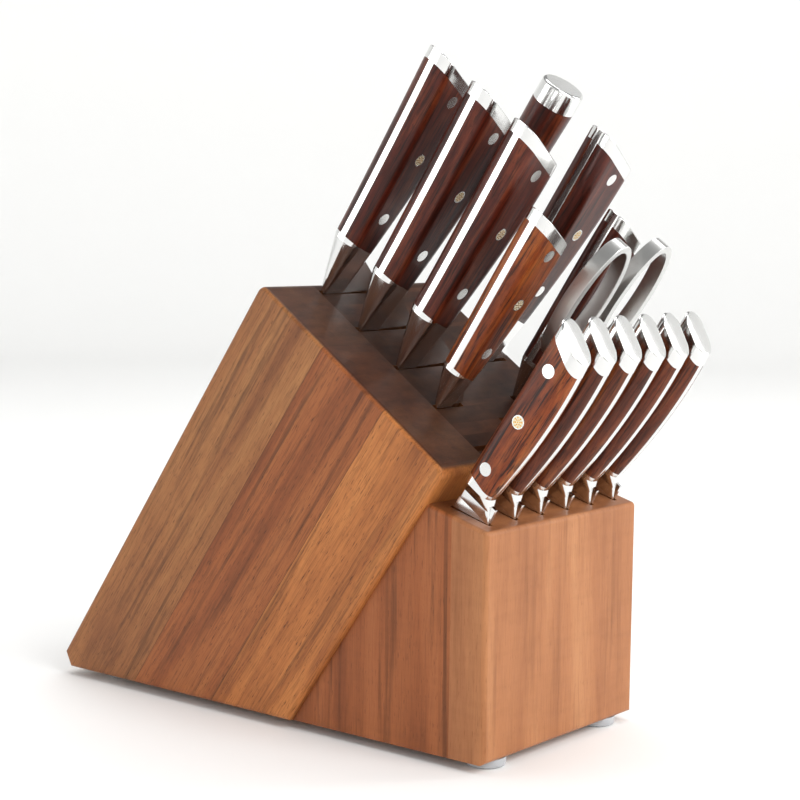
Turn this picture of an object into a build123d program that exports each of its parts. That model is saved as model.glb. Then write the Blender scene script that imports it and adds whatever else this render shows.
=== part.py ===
"""Knife block set: a leaning main block, a low steak-knife block in front, and all that they hold.

Frame: X runs across the blocks, the low block's front face looks towards -Y, +Z is up, and the
origin is under the middle of the set, on the plane that the feet stand on. Sizes are in millimetres.
"""

from build123d import *
from math import cos, radians, sin, tan
from typing import NamedTuple
import os

# ---- Blocks -------------------------------------------------------------------------------------
main_width = 133.0            # main block, across
steak_inset = 3.5             # how far the low block's sides stand in from the main block's
lean = 35.5                   # main block and every slot, from the vertical
back_length = 264.0           # main block's back face, along the lean
steak_base = 117.0            # low block's length on the table, in front of the main block
steak_height = 107.0          # low block's front face
steak_top_rise = 16.0         # slope of the low block's top, in degrees
front_board = 20.0            # low block's front board
left_board = 35.5             # main block's left side board
right_board = 6.0             # main block's right side board
stave_seams = (50.0, 97.0)    # seams of the left side board's staves, down the slope
edge_round = 2.5              # outer edges of both blocks
crown_round = 5.0             # main block's top front and top back edges
heel_chamfer = 10.0           # main block's back bottom edge

# ---- Feet ---------------------------------------------------------------------------------------
foot_diameter = 19.0
foot_height = 4.5
foot_inset_side = 16.5        # foot's centre from the low block's sides
foot_inset_front = 10.5       # front feet's centres from the low block's front face
foot_inset_back = 34.0        # back feet's centres from the main block's back corner

# ---- Slots --------------------------------------------------------------------------------------
slot_side_gap = 0.5           # each side of a blade, across its thickness
slot_edge_gap = 1.0           # each side of a blade, across its width
slot_end_gap = 3.0            # below a blade's tip
first_slot = 9.0              # first row's first slot, down the slope from the back edge
slot_pitch = 30.0             # from slot to slot of the first row
second_row = 33.0             # where the second row's slots start, across
spare_slot_gap = 14.0         # empty slot below the shears' slot
front_margin = 11.0           # main block's top front edge below the empty slot
spare_slot_width = 46.0
spare_slot_depth = 120.0
steel_slot_steps = 0.57       # sharpening steel's slot, in pitches below the first slot
steel_across = 42.0           # sharpening steel's axis, across
shears_slot_gap = 17.0        # shears' slot below the first row's last
shears_across = 28.0          # shears' middle line, across
steak_slot_pitch = 21.0
steak_slot_front = 6.5        # front end of a steak slot, behind the low block's front face

# ---- Handles and blades -------------------------------------------------------------------------
blade_thickness = 2.4
edge_thickness = 0.4
wedge_start = 0.35            # share of a blade's width, from the spine, that keeps its full thickness
tang_thickness = 3.4
rivet_diameter = 6.4
cap_height = 6.0
mouth_thickness = 3.0         # bolster where it meets the slot
root_share = 0.75             # blade's root inside the bolster, as a share of the bolster's height
neck_share = 0.8              # blade's root, as a share of the bolster's width at the slot
heel_rise = 2.0               # blade's heel above the slot's mouth
belly_share = 0.55            # where a blade starts to narrow to its tip, as a share of its length
corner_share = 0.44           # a handle section's corner rounding, as a share of its thickness
outline_spare = 1.0           # how far a piece's outline passes the block before it is trimmed


class Handle(NamedTuple):
    """A handle's outline: each section is (height above the foot, spine side, edge side, thickness)."""

    foot: float               # slot's mouth to the foot of the handle
    length: float             # foot to the cap's spine corner
    collar: float             # foot to the wood joint's spine corner
    cap_slope: float          # cap's end and joint, from square, falling towards the edge side
    joint_slope: float        # wood's lower joint, from square, falling towards the edge side
    mouth: tuple              # bolster's spine side and edge side at the slot
    waist: float              # bolster's thickness half way up, as a share of its full thickness
    sections: tuple
    rivets: tuple             # (height above the foot, place towards the edge)


long_handle = Handle(
    foot=33.0,
    length=108.0,
    collar=3.0,
    cap_slope=27.0,
    joint_slope=20.0,
    mouth=(0.0, 15.0),
    waist=0.62,
    sections=(
        (0.0, -8.2, 15.5, 15.7),
        (34.0, -9.0, 20.5, 17.0),
        (74.0, -11.0, 23.5, 17.5),
        (111.0, -13.5, 20.5, 17.0),
    ),
    rivets=((18.0, 4.5), (53.0, 6.0), (86.0, 6.0)),
)
short_handle = Handle(
    foot=23.0,
    length=91.0,
    collar=2.5,
    cap_slope=27.0,
    joint_slope=20.0,
    mouth=(0.0, 12.0),
    waist=0.62,
    sections=(
        (0.0, -7.2, 11.0, 13.7),
        (29.0, -8.5, 15.5, 15.0),
        (61.0, -10.5, 18.0, 15.5),
        (94.0, -12.0, 16.5, 15.0),
    ),
    rivets=((15.0, 3.0), (44.0, 3.6), (72.0, 3.8)),
)
steak_handle = Handle(
    foot=10.5,
    length=81.0,
    collar=2.0,
    cap_slope=-28.0,
    joint_slope=-11.0,
    mouth=(0.0, 20.5),
    waist=0.42,
    sections=(
        (0.0, 5.0, 21.6, 12.0),
        (27.0, 2.0, 21.8, 14.0),
        (57.0, 1.2, 22.0, 14.5),
        (97.0, 5.5, 23.5, 14.0),
    ),
    rivets=((12.0, 13.6), (41.0, 12.2), (69.0, 13.2)),
)


class Knife(NamedTuple):
    """A knife of the main block: its slot, its blade and its handle."""

    name: str
    row: int
    step: int                 # counts the first row's slots from the back
    blade_length: float
    blade_width: float
    tip_share: float          # tip's place across the blade, from the spine
    handle: Handle


main_knives = (
    Knife("chef_knife", 0, 0, 203.0, 45.0, 0.3, long_handle),
    Knife("bread_knife", 0, 1, 203.0, 42.0, 0.7, long_handle),
    Knife("santoku_knife", 0, 2, 178.0, 45.0, 0.85, long_handle),
    Knife("paring_knife", 0, 3, 89.0, 20.0, 0.5, short_handle),
    Knife("slicing_knife", 1, 2, 203.0, 25.0, 0.5, long_handle),
    Knife("utility_knife", 1, 3, 127.0, 23.0, 0.5, short_handle),
)
steak_knife_count = 6
steak_blade_length = 115.0
steak_blade_width = 20.5
steak_blade_thickness = 1.8
steak_tip_share = 0.35

# ---- Sharpening steel ---------------------------------------------------------------------------
steel_rod_diameter = 12.0
steel_rod_length = 203.0
steel_point_length = 9.0
steel_ferrule_diameter = 14.5
steel_ferrule_height = 20.0
steel_ferrule_rise = 0.5      # ferrule's foot above the top face
steel_grip_length = 108.0
steel_grip_foot = 15.5
steel_grip_belly = 20.5
steel_tang_diameter = 6.0
steel_ferrule_round = 2.0     # height of the ferrule's lower slope and of its straight upper band
steel_belly_share = 0.6       # grip's widest place, as a share of its length
steel_cap_diameter = 22.5
steel_cap_height = 11.0
steel_cap_round = 1.4
steel_gap = 0.75              # round the rod in its channel

# ---- Shears -------------------------------------------------------------------------------------
shears_blade_length = 86.0
shears_blade_width = 16.0
shears_plate = 2.4            # thickness of each half at the pivot
shears_gap = 0.1              # between the halves
shears_loop_width = 30.0
shears_loop_length = 68.0
shears_loop_band = 3.8
shears_loop_depth = 7.5
shears_loop_rise = 76.0       # loop's centre above the slot's mouth
shears_loop_apart = 18.0      # loop's centre from the middle line
shears_pivot_rise = 6.0       # pivot above the slot's mouth
shears_pivot_boss = 18.0      # diameter of each half round the pivot
shears_shank_width = 11.0
shears_screw_diameter = 5.0
shears_head_diameter = 9.0
shears_head_height = 1.2
shears_bore_gap = 0.05        # round the screw in the turning half
shears_tip_half = 1.5         # half the blade's width at its tip
shears_taper_share = 0.6      # where a blade starts to narrow, as a share of its length
shears_edge_half = 5.0        # ground edge's place from the middle line
shears_shank_foot = 24.0      # where the loop's thick shank starts, above the slot's mouth
shears_shank_overlap = 3.0    # how far a shank runs into its loop
shears_swing = 8.0            # how far the halves open inside the slot

# ---- Worked out from the sizes above ------------------------------------------------------------
lean_dir = Vector(0, -sin(radians(lean)), cos(radians(lean)))
slope_dir = Vector(0, -cos(radians(lean)), -sin(radians(lean)))
last_step = max(knife.step for knife in main_knives)
steel_slot = first_slot + steel_slot_steps * slot_pitch
shears_slot = first_slot + last_step * slot_pitch + shears_slot_gap
spare_slot = shears_slot + spare_slot_gap
top_depth = spare_slot + front_margin
main_base = top_depth / cos(radians(lean))
overall_length = steak_base + main_base
top_back = Vector(0, overall_length, 0) + lean_dir * back_length
half_width = main_width / 2
steak_half_width = half_width - steak_inset
core_left = left_board - half_width
core_right = half_width - right_board
steak_crown = (steak_base - steak_height * tan(radians(lean))) / (
    1 + tan(radians(steak_top_rise)) * tan(radians(lean))
)
steak_mouth = Vector(
    0, steak_slot_front, steak_height + steak_slot_front * tan(radians(steak_top_rise))
)
slot_thickness = blade_thickness + 2 * slot_side_gap
steak_slot_thickness = steak_blade_thickness + 2 * slot_side_gap
steel_slot_size = steel_rod_diameter + 2 * steel_gap
shears_halves = 2 * shears_plate + shears_gap
shears_slot_thickness = shears_halves + 2 * shears_head_height + 2 * slot_side_gap
shears_tip_travel = (shears_blade_length + shears_pivot_rise) * sin(radians(shears_swing))
parts = {}


def keep(part, label):
    """Labels a finished piece and holds it until the whole set is placed and written."""
    part.label = label
    parts[label] = part


def top_point(across, down, up=0.0):
    """Gives a point by its place across, down the top face's slope, and up the lean from it."""
    return top_back + Vector(across, 0, 0) + slope_dir * down + lean_dir * up


def knife_plane(across, down):
    """Gives a main slot's plane: X to the knife's edge, Y up its handle, origin at the mouth."""
    return Plane(origin=top_point(across, down), x_dir=(1, 0, 0), z_dir=slope_dir)


def steak_plane(across):
    """Gives a steak slot's plane: X to the knife's edge, Y up its handle, origin at the mouth."""
    return Plane(origin=steak_mouth + Vector(across, 0, 0), x_dir=slope_dir * -1, z_dir=(1, 0, 0))


def side_outline(origin, down_low, down_high, up_low, up_high):
    """Gives a slanted rectangle's corners as (Y, Z), from places down the slope and up the lean."""
    corners = (
        (down_low, up_low),
        (down_high, up_low),
        (down_high, up_high),
        (down_low, up_high),
    )
    points = [origin + slope_dir * down + lean_dir * up for down, up in corners]
    return [(point.Y, point.Z) for point in points]


def block_piece(envelope, across_low, across_high, outline):
    """Makes one piece of a block: a side outline, as thick as it is told, trimmed to the block."""
    with BuildPart() as piece:
        with BuildSketch(Plane.YZ.offset(across_low)):
            with BuildLine():
                Polyline(*outline, close=True)
            make_face()
        extrude(amount=across_high - across_low)
        add(envelope, mode=Mode.INTERSECT)
    return piece.part


# ---- Block outlines -----------------------------------------------------------------------------
with BuildPart() as main_envelope:
    with BuildSketch(Plane.YZ):
        with BuildLine():
            Polyline(
                (steak_base, 0),
                (overall_length, 0),
                (top_back.Y, top_back.Z),
                (top_point(0, top_depth).Y, top_point(0, top_depth).Z),
                close=True,
            )
        make_face()
        fillet(vertices().sort_by(Axis.Y)[-2:], radius=crown_round)
        chamfer(vertices().sort_by(Axis.X)[-1], length=heel_chamfer)
    extrude(amount=half_width, both=True)
    fillet(faces().filter_by(Axis.X).edges(), radius=edge_round)

with BuildPart() as steak_envelope:
    with BuildSketch(Plane.YZ):
        with BuildLine():
            Polyline(
                (0, 0),
                (steak_base, 0),
                (steak_crown, steak_height + steak_crown * tan(radians(steak_top_rise))),
                (0, steak_height),
                close=True,
            )
        make_face()
    extrude(amount=steak_half_width, both=True)
    front_edges = faces().sort_by(Axis.Y)[0].edges()
    top_edges = faces().sort_by(Axis.Z)[-1].edges().filter_by(Axis.X, reverse=True)
    fillet(front_edges + top_edges, radius=edge_round)

# ---- Main block: side boards --------------------------------------------------------------------
full_depth = -(back_length + top_depth)
seams = (-outline_spare,) + stave_seams + (top_depth + outline_spare,)
staves = [
    block_piece(
        main_envelope.part,
        -half_width - outline_spare,
        core_left,
        side_outline(top_back, low, high, full_depth, outline_spare),
    )
    for low, high in zip(seams, seams[1:])
]
keep(Compound(children=staves), "left_board_staves")
keep(
    block_piece(
        main_envelope.part,
        core_right,
        half_width + outline_spare,
        side_outline(top_back, -outline_spare, top_depth + outline_spare, full_depth, outline_spare),
    ),
    "right_side_board",
)

# ---- Main block: core boards and the spacers that leave the slots between them ------------------
first_row_spine = core_left + slot_edge_gap
second_row_spine = second_row + slot_edge_gap


def knife_slot_place(knife):
    """Gives the slot's place down the slope and its spine end across."""
    down = first_slot + knife.step * slot_pitch
    return down, (first_row_spine, second_row_spine)[knife.row]


class Opening(NamedTuple):
    """A slot's opening in one layer of the core."""

    start: float              # its ends, across
    end: float
    depth: float


class Layer(NamedTuple):
    """A layer of spacers between two core boards."""

    down: float               # its middle, down the slope
    thickness: float
    openings: list


layers = [
    Layer(
        steel_slot,
        steel_slot_size,
        [
            Opening(
                steel_across - steel_slot_size / 2,
                steel_across + steel_slot_size / 2,
                steel_rod_length + slot_end_gap,
            )
        ],
    ),
    Layer(
        shears_slot,
        shears_slot_thickness,
        [
            Opening(
                shears_across - shears_blade_width / 2 - shears_tip_travel,
                shears_across + shears_blade_width / 2 + slot_edge_gap,
                shears_blade_length + slot_end_gap,
            )
        ],
    ),
    Layer(
        spare_slot,
        slot_thickness,
        [Opening(core_left, core_left + spare_slot_width, spare_slot_depth)],
    ),
]
for step in sorted({knife.step for knife in main_knives}):
    openings = []
    for knife in main_knives:
        if knife.step == step:
            down, spine = knife_slot_place(knife)
            openings.append(
                Opening(
                    spine - slot_edge_gap,
                    spine + knife.blade_width + slot_edge_gap,
                    knife.blade_length + slot_end_gap,
                )
            )
    layers.append(Layer(first_slot + step * slot_pitch, slot_thickness, openings))

boards = []
spacers = []
board_start = -outline_spare
for layer in sorted(layers, key=lambda each: each.down):
    low = layer.down - layer.thickness / 2
    high = layer.down + layer.thickness / 2
    boards.append(
        block_piece(
            main_envelope.part,
            core_left,
            core_right,
            side_outline(top_back, board_start, low, full_depth, outline_spare),
        )
    )
    board_start = high
    strip_start = core_left
    for opening in sorted(layer.openings):
        if opening.start > strip_start:
            spacers.append(
                block_piece(
                    main_envelope.part,
                    strip_start,
                    opening.start,
                    side_outline(top_back, low, high, full_depth, outline_spare),
                )
            )
        spacers.append(
            block_piece(
                main_envelope.part,
                opening.start,
                opening.end,
                side_outline(top_back, low, high, full_depth, -opening.depth),
            )
        )
        strip_start = opening.end
    spacers.append(
        block_piece(
            main_envelope.part,
            strip_start,
            core_right,
            side_outline(top_back, low, high, full_depth, outline_spare),
        )
    )
boards.append(
    block_piece(
        main_envelope.part,
        core_left,
        core_right,
        side_outline(top_back, board_start, top_depth + outline_spare, full_depth, outline_spare),
    )
)
keep(Compound(children=boards), "core_boards")
keep(Compound(children=spacers), "slot_spacers")

# ---- Low block: front board, inner boards and slot spacers --------------------------------------
steak_places = [
    (number - (steak_knife_count - 1) / 2) * steak_slot_pitch for number in range(steak_knife_count)
]
steak_slot_back = -(steak_blade_width + slot_edge_gap)
steak_slot_floor = -(steak_blade_length + slot_end_gap)
steak_reach = steak_base + steak_height
steak_slot_outline = side_outline(
    steak_mouth, steak_slot_back, slot_edge_gap, steak_slot_floor, steak_base
)
with BuildPart() as front_block:
    with BuildSketch(Plane.YZ.offset(-steak_half_width)):
        with BuildLine():
            Polyline((0, 0), (front_board, 0), (front_board, steak_reach), (0, steak_reach), close=True)
        make_face()
    extrude(amount=2 * steak_half_width)
    add(steak_envelope.part, mode=Mode.INTERSECT)
    for across in steak_places:
        with BuildSketch(Plane.YZ.offset(across - steak_slot_thickness / 2)):
            with BuildLine():
                Polyline(*steak_slot_outline, close=True)
            make_face()
        extrude(amount=steak_slot_thickness, mode=Mode.SUBTRACT)
keep(front_block.part, "steak_front_board")

with BuildPart() as rear_envelope:
    add(steak_envelope.part)
    split(bisect_by=Plane.XZ.offset(-front_board), keep=Keep.BOTTOM)

inner_boards = []
steak_spacers = []
board_start = -steak_half_width
whole_side = side_outline(steak_mouth, -steak_reach, steak_reach, -steak_reach, steak_reach)
slot_cuts = (
    (slot_edge_gap, steak_reach, -steak_reach, steak_reach),
    (steak_slot_back, slot_edge_gap, -steak_reach, steak_slot_floor),
    (-steak_reach, steak_slot_back, -steak_reach, steak_reach),
)
for across in steak_places:
    low = across - steak_slot_thickness / 2
    high = across + steak_slot_thickness / 2
    inner_boards.append(block_piece(rear_envelope.part, board_start, low, whole_side))
    for cut in slot_cuts:
        steak_spacers.append(
            block_piece(rear_envelope.part, low, high, side_outline(steak_mouth, *cut))
        )
    board_start = high
inner_boards.append(block_piece(rear_envelope.part, board_start, steak_half_width, whole_side))
keep(Compound(children=inner_boards), "steak_inner_boards")
keep(Compound(children=steak_spacers), "steak_slot_spacers")

# ---- Feet ---------------------------------------------------------------------------------------
with BuildPart() as feet:
    with BuildSketch(Plane.XY.offset(-foot_height)):
        with Locations((0, (foot_inset_front + overall_length - foot_inset_back) / 2)):
            with GridLocations(
                2 * (steak_half_width - foot_inset_side),
                overall_length - foot_inset_back - foot_inset_front,
                2,
                2,
            ):
                Circle(foot_diameter / 2)
    extrude(amount=foot_height)
    chamfer(edges().group_by(Axis.Z)[0], length=foot_height / 4)
keep(feet.part, "feet")


# ---- Knives -------------------------------------------------------------------------------------
def section(height, spine_side, edge_side, thickness):
    """Draws one rounded section of a handle on its own frame: X to the edge, Y up, Z out."""
    middle = ((spine_side + edge_side) / 2, height, 0)
    with BuildSketch(Plane(origin=middle, x_dir=(1, 0, 0), z_dir=(0, 1, 0))) as drawn:
        RectangleRounded(edge_side - spine_side, thickness, corner_share * thickness)
    return drawn.sketch


def slanted_plane(spine_side, height, slope):
    """Gives the plane of a cap or wood joint, by its spine corner, its normal up the handle."""
    return Plane(
        origin=(spine_side, height, 0),
        x_dir=(0, 0, 1),
        z_dir=(sin(radians(slope)), cos(radians(slope)), 0),
    )


class HandlePieces(NamedTuple):
    """A finished handle's pieces on its own frame."""

    core: Part                # bolster, tang and cap
    front_scale: Part
    back_scale: Part
    rivets: Part


def handle_pieces(handle):
    """Makes a handle's steel core, its two scales and its rivets."""
    foot_section = handle.sections[0]
    head_section = handle.sections[-1]
    with BuildPart() as bolster:
        add(section(0, *handle.mouth, mouth_thickness))
        add(
            section(
                handle.foot / 2,
                (handle.mouth[0] + foot_section[1]) / 2,
                (handle.mouth[1] + foot_section[2]) / 2,
                handle.waist * foot_section[3],
            )
        )
        add(section(handle.foot, *foot_section[1:]))
        loft(ruled=True)
    with BuildPart() as whole:
        for height, *size in handle.sections:
            add(section(handle.foot + height, *size))
        loft()
        split(
            bisect_by=slanted_plane(head_section[1], handle.foot + handle.length, handle.cap_slope),
            keep=Keep.BOTTOM,
        )
        add(bolster.part)
    wood_foot = slanted_plane(foot_section[1], handle.foot + handle.collar, handle.joint_slope)
    wood_head = slanted_plane(
        head_section[1], handle.foot + handle.length - cap_height, handle.cap_slope
    )
    with BuildPart() as rivets:
        with BuildSketch(Plane.XY):
            with Locations(*[(towards, handle.foot + rise) for rise, towards in handle.rivets]):
                Circle(rivet_diameter / 2)
        extrude(amount=head_section[3], both=True)
        add(whole.part, mode=Mode.INTERSECT)
    with BuildPart() as wood:
        add(whole.part)
        split(bisect_by=wood_foot, keep=Keep.TOP)
        split(bisect_by=wood_head, keep=Keep.BOTTOM)
        add(rivets.part, mode=Mode.SUBTRACT)
    with BuildPart() as scale_front:
        add(wood.part)
        split(bisect_by=Plane.XY.offset(tang_thickness / 2), keep=Keep.TOP)
    with BuildPart() as scale_back:
        add(wood.part)
        split(bisect_by=Plane.XY.offset(-tang_thickness / 2), keep=Keep.BOTTOM)
    with BuildPart() as core:
        add(whole.part)
        add(scale_front.part, mode=Mode.SUBTRACT)
        add(scale_back.part, mode=Mode.SUBTRACT)
        add(rivets.part, mode=Mode.SUBTRACT)
    return HandlePieces(core.part, scale_front.part, scale_back.part, rivets.part)


def blade_with_core(handle, core, length, width, thickness, tip_share):
    """Makes a blade, ground thinner from behind the spine to the edge, joined to its handle's core."""
    root = root_share * handle.foot
    neck = neck_share * handle.mouth[1]
    tip = (tip_share * width, -length)
    belly = (width, -belly_share * length)
    with BuildPart() as blade:
        with BuildSketch(Plane.XY):
            with BuildLine():
                Polyline((neck, root), (1.0, root), (0, 0), (0, -belly_share * length))
                Spline(
                    (0, -belly_share * length),
                    tip,
                    tangents=((0, -1), (0.8 * tip_share + 0.1, -0.6)),
                )
                Spline(tip, belly, tangents=((1 - 0.7 * tip_share, 0.25), (0, 1)))
                Polyline(belly, (width, heel_rise), (neck, root))
            make_face()
        extrude(amount=thickness, both=True)
        with BuildSketch(
            Plane(origin=(0, -length - outline_spare, 0), x_dir=(1, 0, 0), z_dir=(0, 1, 0)),
            mode=Mode.PRIVATE,
        ) as ground:
            with BuildLine():
                Polyline(
                    (-outline_spare, -thickness / 2),
                    (wedge_start * width, -thickness / 2),
                    (width + outline_spare, -edge_thickness / 2),
                    (width + outline_spare, edge_thickness / 2),
                    (wedge_start * width, thickness / 2),
                    (-outline_spare, thickness / 2),
                    close=True,
                )
            make_face()
        extrude(ground.sketch, amount=length + handle.foot, mode=Mode.INTERSECT)
    with BuildPart() as joined:
        add(core)
        add(blade.part)
    return joined.part


def keep_knife(name, plane, steel, pieces, split_scales):
    """Moves one knife's pieces to its slot's plane and keeps them."""
    place = plane.location
    keep(steel.moved(place), f"{name}_blade")
    front_scale = pieces.front_scale.moved(place)
    back_scale = pieces.back_scale.moved(place)
    if split_scales:
        keep(front_scale, f"{name}_front_scale")
        keep(back_scale, f"{name}_back_scale")
    else:
        keep(Compound(children=[front_scale, back_scale]), f"{name}_scales")
    keep(pieces.rivets.moved(place), f"{name}_rivets")


long_pieces = handle_pieces(long_handle)
short_pieces = handle_pieces(short_handle)
for knife in main_knives:
    pieces = long_pieces if knife.handle is long_handle else short_pieces
    steel = blade_with_core(
        knife.handle,
        pieces.core,
        knife.blade_length,
        knife.blade_width,
        blade_thickness,
        knife.tip_share,
    )
    down, spine = knife_slot_place(knife)
    keep_knife(knife.name, knife_plane(spine, down), steel, pieces, True)

steak_pieces = handle_pieces(steak_handle)
steak_steel = blade_with_core(
    steak_handle,
    steak_pieces.core,
    steak_blade_length,
    steak_blade_width,
    steak_blade_thickness,
    steak_tip_share,
)
for number, across in enumerate(steak_places, start=1):
    keep_knife(f"steak_knife_{number}", steak_plane(across), steak_steel, steak_pieces, False)

# ---- Sharpening steel ---------------------------------------------------------------------------
steel_plane = knife_plane(steel_across, steel_slot)
steel_axis = Axis(steel_plane.origin, lean_dir)
ferrule_top = steel_ferrule_rise + steel_ferrule_height
grip_top = ferrule_top + steel_grip_length
with BuildPart() as steel_rod:
    with BuildSketch(steel_plane):
        with BuildLine():
            Polyline(
                (0, -steel_rod_length),
                (steel_rod_diameter / 4, -steel_rod_length),
                (steel_rod_diameter / 2, -steel_rod_length + steel_point_length),
                (steel_rod_diameter / 2, steel_ferrule_rise),
                (steel_ferrule_diameter / 2 - steel_ferrule_round / 2, steel_ferrule_rise),
                (steel_ferrule_diameter / 2, steel_ferrule_rise + steel_ferrule_round),
                (steel_grip_foot / 2, ferrule_top - steel_ferrule_round),
                (steel_grip_foot / 2, ferrule_top),
                (steel_tang_diameter / 2, ferrule_top),
                (steel_tang_diameter / 2, grip_top),
                (0, grip_top),
                close=True,
            )
        make_face()
    revolve(axis=steel_axis)
keep(steel_rod.part, "sharpening_steel_rod")

with BuildPart() as steel_grip:
    with BuildSketch(steel_plane):
        with BuildLine():
            Polyline(
                (steel_grip_foot / 2, ferrule_top),
                (steel_tang_diameter / 2, ferrule_top),
                (steel_tang_diameter / 2, grip_top),
                (steel_cap_diameter / 2, grip_top),
            )
            Spline(
                (steel_cap_diameter / 2, grip_top),
                (steel_grip_belly / 2, ferrule_top + steel_belly_share * steel_grip_length),
                (steel_grip_foot / 2, ferrule_top),
            )
        make_face()
    revolve(axis=steel_axis)
keep(steel_grip.part, "sharpening_steel_grip")

with BuildPart() as steel_cap:
    cap_foot = steel_plane.from_local_coords(Vector(0, grip_top, 0))
    with BuildSketch(Plane(origin=cap_foot, z_dir=lean_dir)):
        Circle(steel_cap_diameter / 2)
    extrude(amount=steel_cap_height)
    fillet(faces().sort_by(steel_axis)[-1].edges(), radius=steel_cap_round)
keep(steel_cap.part, "sharpening_steel_cap")

# ---- Shears -------------------------------------------------------------------------------------
shears_plane = knife_plane(shears_across, shears_slot)


def shears_half(side):
    """Makes one half: its loop on the given side (-1 or 1), its blade beyond the pivot."""
    plate_low = shears_gap / 2 if side < 0 else -shears_gap / 2 - shears_plate
    pivot = (0, shears_pivot_rise)
    bore = shears_screw_diameter / 2 + (shears_bore_gap if side > 0 else 0)
    loop_middle = (side * shears_loop_apart, shears_loop_rise)
    loop_foot = shears_loop_rise - shears_loop_length / 2 + shears_shank_overlap
    shank_middle = side * (shears_loop_apart - shears_shank_overlap)
    shank_outer = shank_middle + side * shears_shank_width / 2
    shank_inner = shank_middle - side * shears_shank_width / 2
    half_blade = shears_blade_width / 2
    taper = -shears_taper_share * shears_blade_length
    shank_low = shears_shank_foot + shears_shank_overlap
    with BuildPart() as half:
        with BuildSketch(shears_plane.offset(plate_low)):
            with Locations(pivot):
                Circle(shears_pivot_boss / 2)
            with BuildLine():
                Polyline(
                    (-side * half_blade, shears_pivot_rise),
                    (-side * half_blade, taper),
                    (-side * shears_tip_half, -shears_blade_length),
                    (side * shears_tip_half, -shears_blade_length),
                    (side * shears_edge_half, taper),
                    (side * shears_edge_half, shears_pivot_rise),
                    close=True,
                )
            make_face()
            with BuildLine():
                Polyline(
                    (-side * half_blade / 2, shears_pivot_rise + half_blade / 2),
                    (side * half_blade, shears_pivot_rise),
                    (shank_outer, loop_foot),
                    (shank_inner, loop_foot),
                    close=True,
                )
            make_face()
        extrude(amount=shears_plate)
        with BuildSketch(shears_plane.offset(-shears_loop_depth / 2)):
            with Locations(loop_middle):
                Ellipse(shears_loop_width / 2, shears_loop_length / 2)
            with BuildLine():
                Polyline(
                    (side * half_blade * 0.75, shank_low),
                    (side * half_blade * 1.55, shears_shank_foot),
                    (shank_outer, loop_foot + 2 * shears_shank_overlap),
                    (shank_inner, loop_foot + 2 * shears_shank_overlap),
                    close=True,
                )
            make_face()
            with Locations(loop_middle):
                Ellipse(
                    shears_loop_width / 2 - shears_loop_band,
                    shears_loop_length / 2 - shears_loop_band,
                    mode=Mode.SUBTRACT,
                )
        extrude(amount=shears_loop_depth)
        with BuildSketch(shears_plane):
            with Locations(pivot):
                Circle(bore)
        extrude(amount=shears_plate * 2, both=True, mode=Mode.SUBTRACT)
    return half.part


keep(shears_half(-1), "shears_fixed_half")
keep(shears_half(1), "shears_turning_half")

with BuildPart() as shears_screw:
    with BuildSketch(shears_plane.offset(-shears_halves / 2 - shears_head_height)):
        with Locations((0, shears_pivot_rise)):
            Circle(shears_head_diameter / 2)
    extrude(amount=shears_head_height)
    with BuildSketch(shears_plane.offset(-shears_halves / 2)):
        with Locations((0, shears_pivot_rise)):
            Circle(shears_screw_diameter / 2)
    extrude(amount=shears_halves)
    with BuildSketch(shears_plane.offset(shears_halves / 2)):
        with Locations((0, shears_pivot_rise)):
            Circle(shears_head_diameter / 2)
    extrude(amount=shears_head_height)
keep(shears_screw.part, "shears_pivot_screw")

# ---- Placing and writing ------------------------------------------------------------------------
boxes = [part.bounding_box() for part in parts.values()]
front_reach = min(box.min.Y for box in boxes)
back_reach = max(box.max.Y for box in boxes)
to_origin = Location((0, -(front_reach + back_reach) / 2, foot_height))
os.makedirs("parts", exist_ok=True)
for label, part in parts.items():
    placed = part.moved(to_origin)
    placed.label = label
    export_step(placed, f"parts/{label}.step")
print("origin moved by", to_origin.position)
pivot_point = shears_plane.from_local_coords(Vector(0, shears_pivot_rise, 0))
print("shears pivot", pivot_point + to_origin.position)
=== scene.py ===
"""Looks of a knife block set: wood, handles, pins, steel, shears and feet, around the CAD frame."""

import logging
from dataclasses import dataclass, field
from enum import Enum
from math import cos, pi, radians, sin, tau

import bmesh
import bpy
from mathutils import Matrix, Vector


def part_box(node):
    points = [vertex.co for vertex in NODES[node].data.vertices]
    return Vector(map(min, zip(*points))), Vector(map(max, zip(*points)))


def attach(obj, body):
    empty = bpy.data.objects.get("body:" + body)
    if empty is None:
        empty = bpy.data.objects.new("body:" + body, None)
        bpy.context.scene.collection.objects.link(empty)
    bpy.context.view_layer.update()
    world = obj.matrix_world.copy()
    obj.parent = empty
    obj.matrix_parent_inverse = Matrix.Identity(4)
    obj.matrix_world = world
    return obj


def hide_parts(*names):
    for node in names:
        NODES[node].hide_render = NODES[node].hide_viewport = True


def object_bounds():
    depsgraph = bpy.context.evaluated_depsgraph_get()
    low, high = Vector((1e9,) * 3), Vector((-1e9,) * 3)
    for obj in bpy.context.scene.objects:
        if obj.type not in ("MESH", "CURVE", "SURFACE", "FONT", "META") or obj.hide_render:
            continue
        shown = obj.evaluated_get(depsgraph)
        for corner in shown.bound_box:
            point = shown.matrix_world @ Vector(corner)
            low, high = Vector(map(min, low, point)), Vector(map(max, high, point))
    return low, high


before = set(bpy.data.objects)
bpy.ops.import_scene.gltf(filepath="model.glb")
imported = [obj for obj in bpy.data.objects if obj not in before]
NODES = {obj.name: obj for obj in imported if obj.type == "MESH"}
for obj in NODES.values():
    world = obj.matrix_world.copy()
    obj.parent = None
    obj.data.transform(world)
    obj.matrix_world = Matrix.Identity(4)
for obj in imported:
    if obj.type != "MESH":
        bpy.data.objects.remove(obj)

CAD_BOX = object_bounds()
LOG = logging.getLogger("knife_block")
MM = 0.001
LEAN = radians(35.5)
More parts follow.
